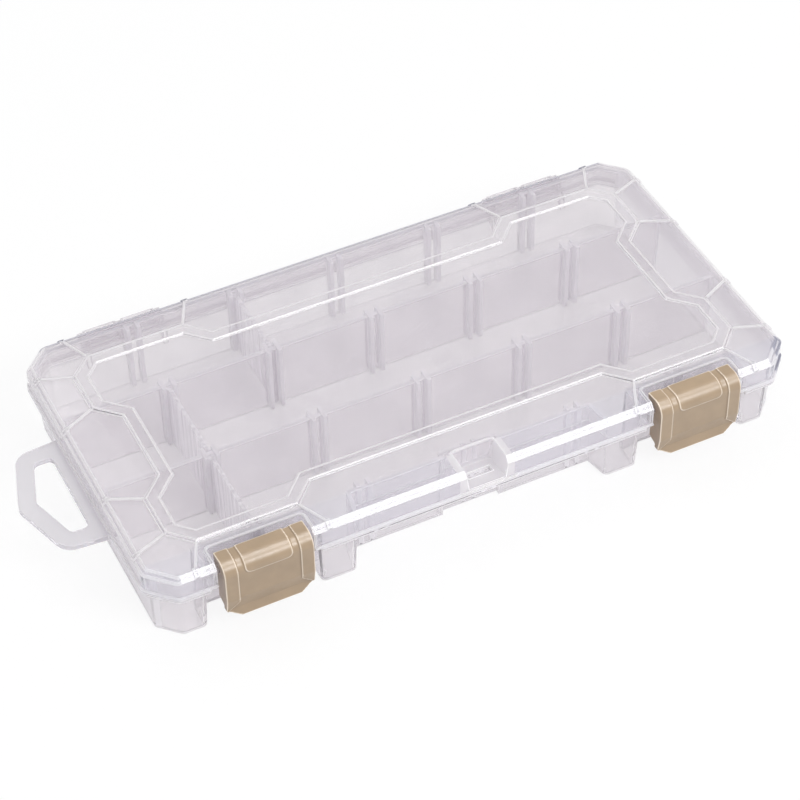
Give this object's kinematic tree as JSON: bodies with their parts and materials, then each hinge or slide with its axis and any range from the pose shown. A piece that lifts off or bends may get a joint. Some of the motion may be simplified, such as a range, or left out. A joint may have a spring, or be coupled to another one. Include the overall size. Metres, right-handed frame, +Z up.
{
  "type": "compartment case",
  "caption": "Shallow clear plastic compartment case with a ribbed hinged lid, tan front latches, lift-out dividers and a hang tab on one end.",
  "frame": {"origin": "middle of the tray's underside, on the surface that the case rests on", "axes": "+X along the case to the right as seen from the latches, so the hang tab is at -X; +Y back towards the hinges; +Z up"},
  "size_m": [0.2546, 0.1285, 0.0299],
  "materials": {
    "clear_plastic": "glossy, translucent",
    "tan_plastic": "satin"
  },
  "bodies": {
    "tray": {"base_tray": "clear_plastic"},
    "lid": {"lid": "clear_plastic"},
    "left_latch": {"left_latch": "tan_plastic"},
    "right_latch": {"right_latch": "tan_plastic"},
    "front_divider": {"front_divider": "clear_plastic"},
    "middle_divider": {"middle_divider": "clear_plastic"},
    "back_divider": {"back_divider": "clear_plastic"}
  },
  "joints": [
    {"name": "lid_hinge", "type": "hinge", "parent": "tray", "child": "lid", "pos_m": [0, 0.063, 0.022], "axis": [-1, 0, 0], "range_deg": [0, 180]},
    {"name": "left_latch_pivot", "type": "hinge", "parent": "lid", "child": "left_latch", "pos_m": [-0.0778, -0.057, 0.025], "axis": [-1, 0, 0], "range_deg": [0, 100]},
    {"name": "right_latch_pivot", "type": "hinge", "parent": "lid", "child": "right_latch", "pos_m": [0.0778, -0.057, 0.025], "axis": [-1, 0, 0], "range_deg": [0, 100]},
    {"name": "front_divider_lift", "type": "slide", "parent": "tray", "child": "front_divider", "axis": [0, 0, 1], "range_m": [0, 0.0011]},
    {"name": "middle_divider_lift", "type": "slide", "parent": "tray", "child": "middle_divider", "axis": [0, 0, 1], "range_m": [0, 0.0011]},
    {"name": "back_divider_lift", "type": "slide", "parent": "tray", "child": "back_divider", "axis": [0, 0, 1], "range_m": [0, 0.0011]}
  ]
}
